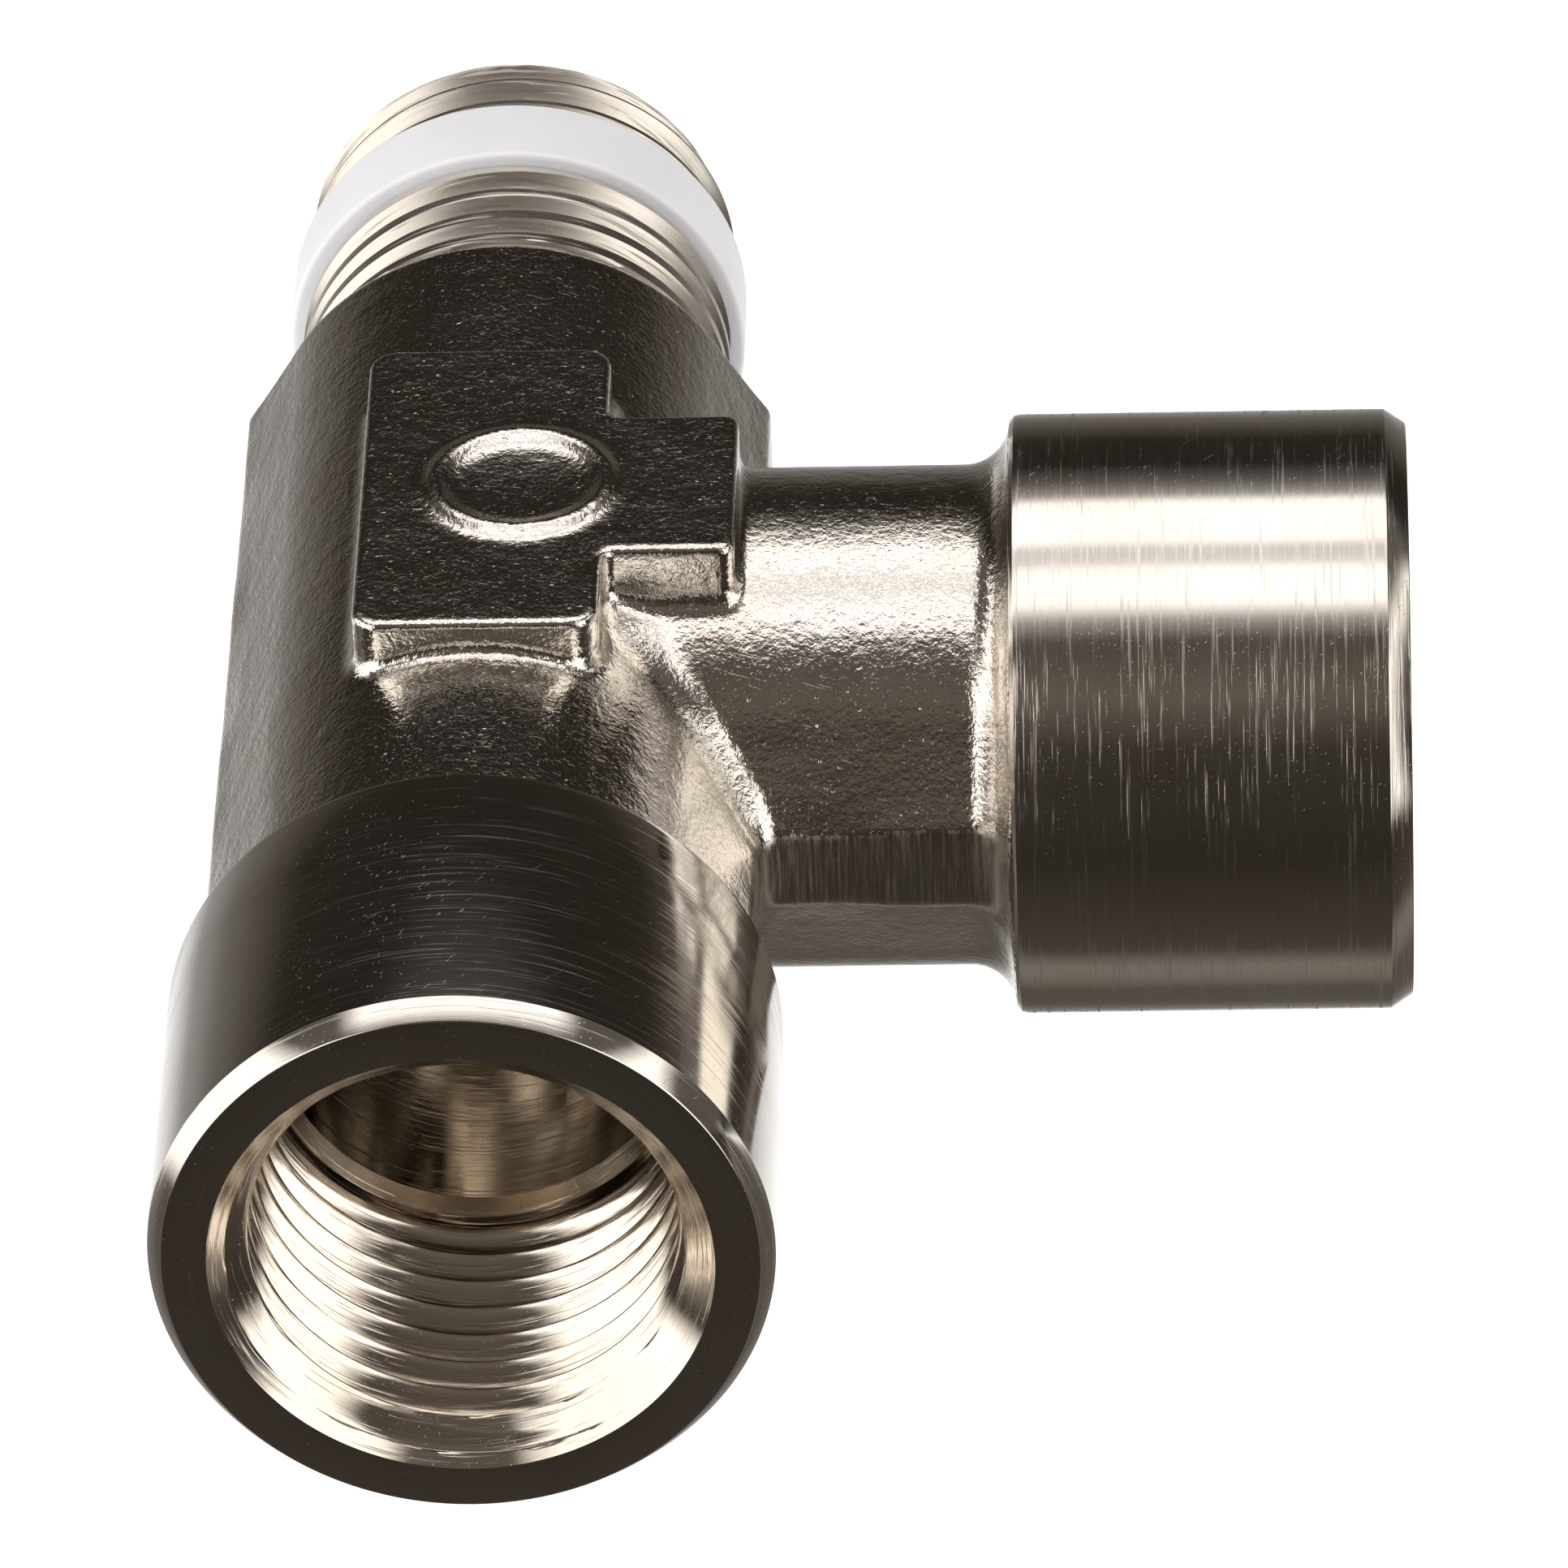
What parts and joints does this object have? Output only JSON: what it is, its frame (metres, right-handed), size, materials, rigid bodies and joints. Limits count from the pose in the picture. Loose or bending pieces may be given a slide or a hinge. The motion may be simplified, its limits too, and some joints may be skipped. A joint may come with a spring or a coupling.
{
  "type": "male run tee fitting",
  "caption": "Nickel-plated brass male run tee with two female threaded ports and a white seal ring on the male thread.",
  "frame": {"origin": "centre of the fitting's box in plan, on the plane that the collars stand on", "axes": "+Y along the run towards the male end, +X along the branch, out of its port, +Z square to both"},
  "size_m": [0.0254, 0.0382, 0.0125],
  "materials": {
    "nickel_plate": "nickel-plated, polished on the machined collars and finely blasted on the forging",
    "white_ptfe": "smooth satin white"
  },
  "bodies": {
    "root": {"tee_body": "nickel_plate", "thread_seal_ring": "white_ptfe"}
  },
  "joints": []
}
